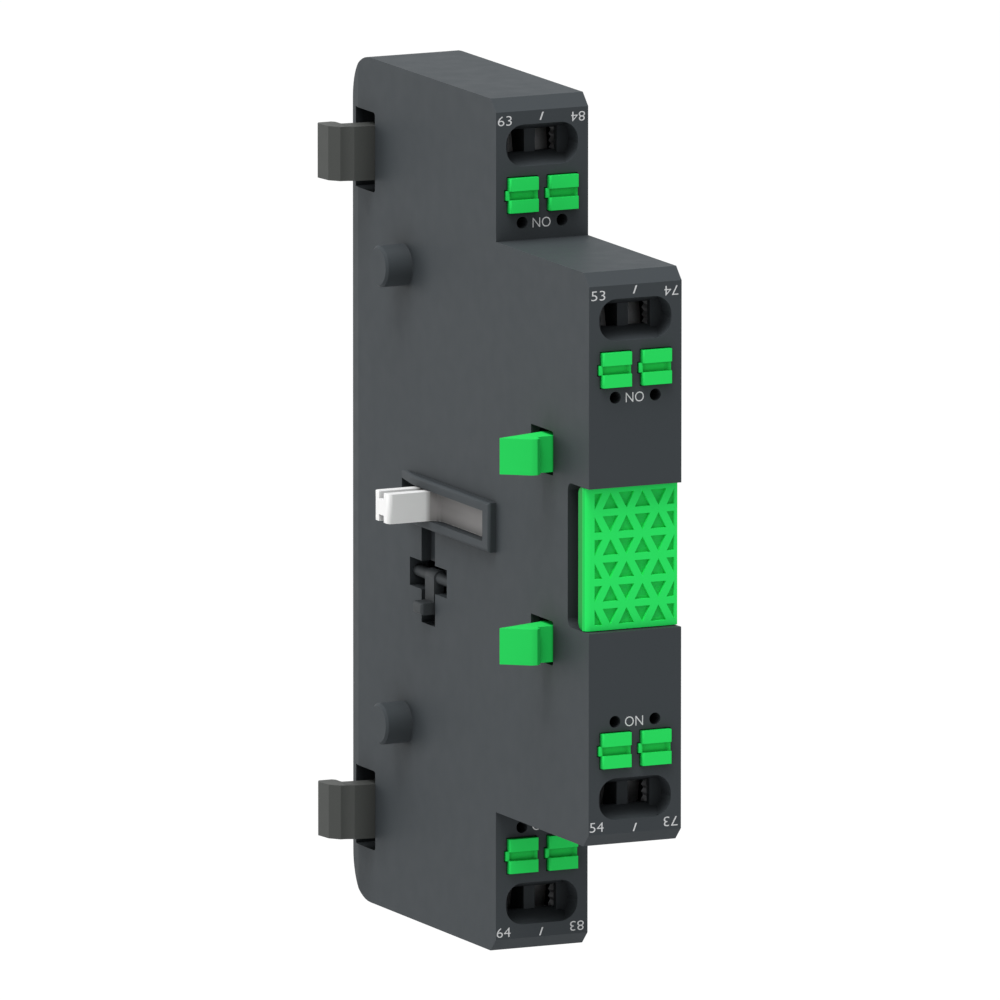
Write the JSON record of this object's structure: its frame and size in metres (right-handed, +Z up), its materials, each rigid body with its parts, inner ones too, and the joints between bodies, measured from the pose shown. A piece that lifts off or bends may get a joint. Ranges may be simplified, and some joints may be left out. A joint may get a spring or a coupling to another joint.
{
  "type": "auxiliary contact block",
  "caption": "Slim stepped contact block that clips on a contactor's side; push-in terminals, green release button with latches, and a white finger that closes its contacts.",
  "frame": {"origin": "on the mating face at mid height, in the middle of the front part's depth", "axes": "+X from the mating face into the block, +Y from the front face to the rear, +Z up along the longest side"},
  "size_m": [0.0191, 0.0698, 0.1062],
  "materials": {
    "case_grey": "fine matt moulded texture",
    "hook_grey": "warm grey moulded plastic",
    "green": "semi-matt moulded plastic",
    "white": "semi-matt moulded plastic",
    "spring_steel": "bright spring steel",
    "contact_metal": "tinned copper alloy"
  },
  "bodies": {
    "case": {"housing": "case_grey", "cover": "case_grey", "upper_hook": "hook_grey", "lower_hook": "hook_grey", "release_spring": "spring_steel", "return_spring": "spring_steel", "lever_leaf": "spring_steel", "strip_53": "contact_metal", "clamp_53_left": "spring_steel", "clamp_53_right": "spring_steel", "strip_54": "contact_metal", "clamp_54_left": "spring_steel", "clamp_54_right": "spring_steel", "strip_63": "contact_metal", "clamp_63_left": "spring_steel", "clamp_63_right": "spring_steel", "strip_64": "contact_metal", "clamp_64_left": "spring_steel", "clamp_64_right": "spring_steel"},
    "release_slider": {"release_slider": "green"},
    "actuator": {"actuator": "white", "bridge_5": "contact_metal", "contact_spring_5": "spring_steel", "bridge_6": "contact_metal", "contact_spring_6": "spring_steel"},
    "lever": {"lever": "case_grey"},
    "button_53_left": {"button_53_left": "green"},
    "button_53_right": {"button_53_right": "green"},
    "button_54_left": {"button_54_left": "green"},
    "button_54_right": {"button_54_right": "green"},
    "button_63_left": {"button_63_left": "green"},
    "button_63_right": {"button_63_right": "green"},
    "button_64_left": {"button_64_left": "green"},
    "button_64_right": {"button_64_right": "green"}
  },
  "joints": [
    {"name": "release_slide", "type": "slide", "parent": "case", "child": "release_slider", "axis": [0, 1, 0], "range_m": [0, 0.0025], "stiffness_N_per_m": 1200, "springref_m": -0.001, "deforming": ["release_spring"]},
    {"name": "actuator_slide", "type": "slide", "parent": "case", "child": "actuator", "axis": [0, 1, 0], "range_m": [0, 0.006], "stiffness_N_per_m": 400, "springref_m": -0.002, "deforming": ["return_spring"]},
    {"name": "lever_hinge", "type": "hinge", "parent": "case", "child": "lever", "pos_m": [0.0012, 0.033, -0.0094], "axis": [0, -1, 0], "range_deg": [0, 8], "stiffness_Nm_per_rad": 0.02, "springref_deg": -2.86, "deforming": ["lever_leaf"]},
    {"name": "button_53_left_push", "type": "slide", "parent": "case", "child": "button_53_left", "axis": [0, 1, 0], "range_m": [0, 0.001], "stiffness_N_per_m": 1500, "springref_m": -0.0006, "deforming": ["clamp_53_left"]},
    {"name": "button_53_right_push", "type": "slide", "parent": "case", "child": "button_53_right", "axis": [0, 1, 0], "range_m": [0, 0.001], "stiffness_N_per_m": 1500, "springref_m": -0.0006, "deforming": ["clamp_53_right"]},
    {"name": "button_54_left_push", "type": "slide", "parent": "case", "child": "button_54_left", "axis": [0, 1, 0], "range_m": [0, 0.001], "stiffness_N_per_m": 1500, "springref_m": -0.0006, "deforming": ["clamp_54_left"]},
    {"name": "button_54_right_push", "type": "slide", "parent": "case", "child": "button_54_right", "axis": [0, 1, 0], "range_m": [0, 0.001], "stiffness_N_per_m": 1500, "springref_m": -0.0006, "deforming": ["clamp_54_right"]},
    {"name": "button_63_left_push", "type": "slide", "parent": "case", "child": "button_63_left", "axis": [0, 1, 0], "range_m": [0, 0.001], "stiffness_N_per_m": 1500, "springref_m": -0.0006, "deforming": ["clamp_63_left"]},
    {"name": "button_63_right_push", "type": "slide", "parent": "case", "child": "button_63_right", "axis": [0, 1, 0], "range_m": [0, 0.001], "stiffness_N_per_m": 1500, "springref_m": -0.0006, "deforming": ["clamp_63_right"]},
    {"name": "button_64_left_push", "type": "slide", "parent": "case", "child": "button_64_left", "axis": [0, 1, 0], "range_m": [0, 0.001], "stiffness_N_per_m": 1500, "springref_m": -0.0006, "deforming": ["clamp_64_left"]},
    {"name": "button_64_right_push", "type": "slide", "parent": "case", "child": "button_64_right", "axis": [0, 1, 0], "range_m": [0, 0.001], "stiffness_N_per_m": 1500, "springref_m": -0.0006, "deforming": ["clamp_64_right"]}
  ]
}
